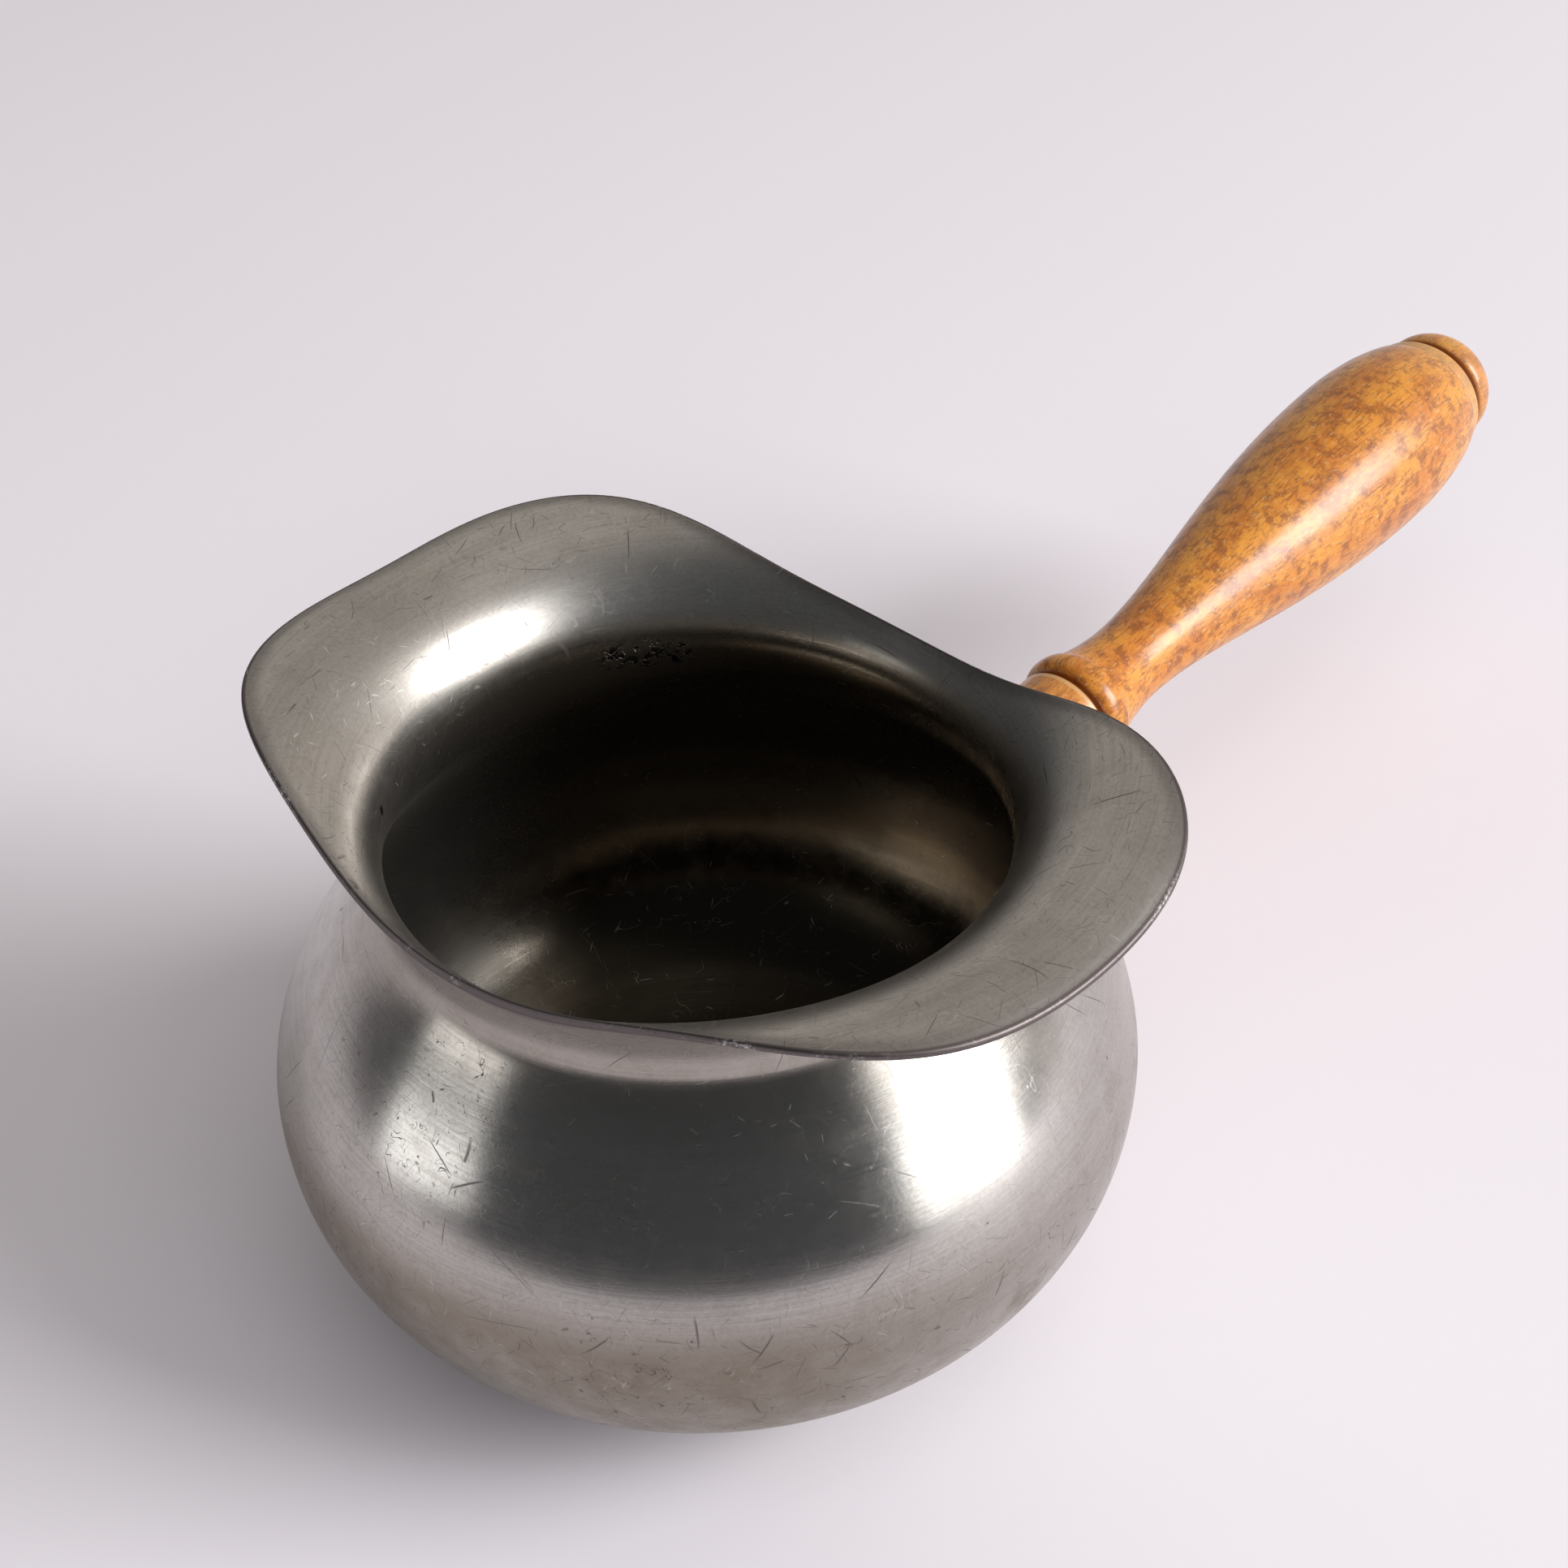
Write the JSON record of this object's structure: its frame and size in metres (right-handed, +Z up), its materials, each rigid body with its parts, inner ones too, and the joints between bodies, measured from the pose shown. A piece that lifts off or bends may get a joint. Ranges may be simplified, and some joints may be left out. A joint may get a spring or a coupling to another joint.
{
  "type": "sauce boat",
  "caption": "Pot-bellied pewter sauce boat with pouring lips on opposite sides of a flared rim and a turned wood side handle.",
  "frame": {"origin": "centre of the flat that the bowl stands on", "axes": "+Z up, +X along the handle away from the bowl, the two pouring lips at +Y and -Y"},
  "size_m": [0.254, 0.122, 0.0863],
  "materials": {
    "pewter": "spun pewter, satin, worn and finely scratched",
    "cast_pewter": "cast pewter, dull satin",
    "solder": "soft solder, dull and slightly lumpy",
    "stud_steel": "plain steel thread",
    "lacquered_wood": "turned maple, amber stain under worn gloss lacquer"
  },
  "bodies": {
    "root": {"bowl": "pewter", "handle_socket": "cast_pewter", "socket_solder": "solder", "handle_stud": "stud_steel", "handle": "lacquered_wood"}
  },
  "joints": []
}
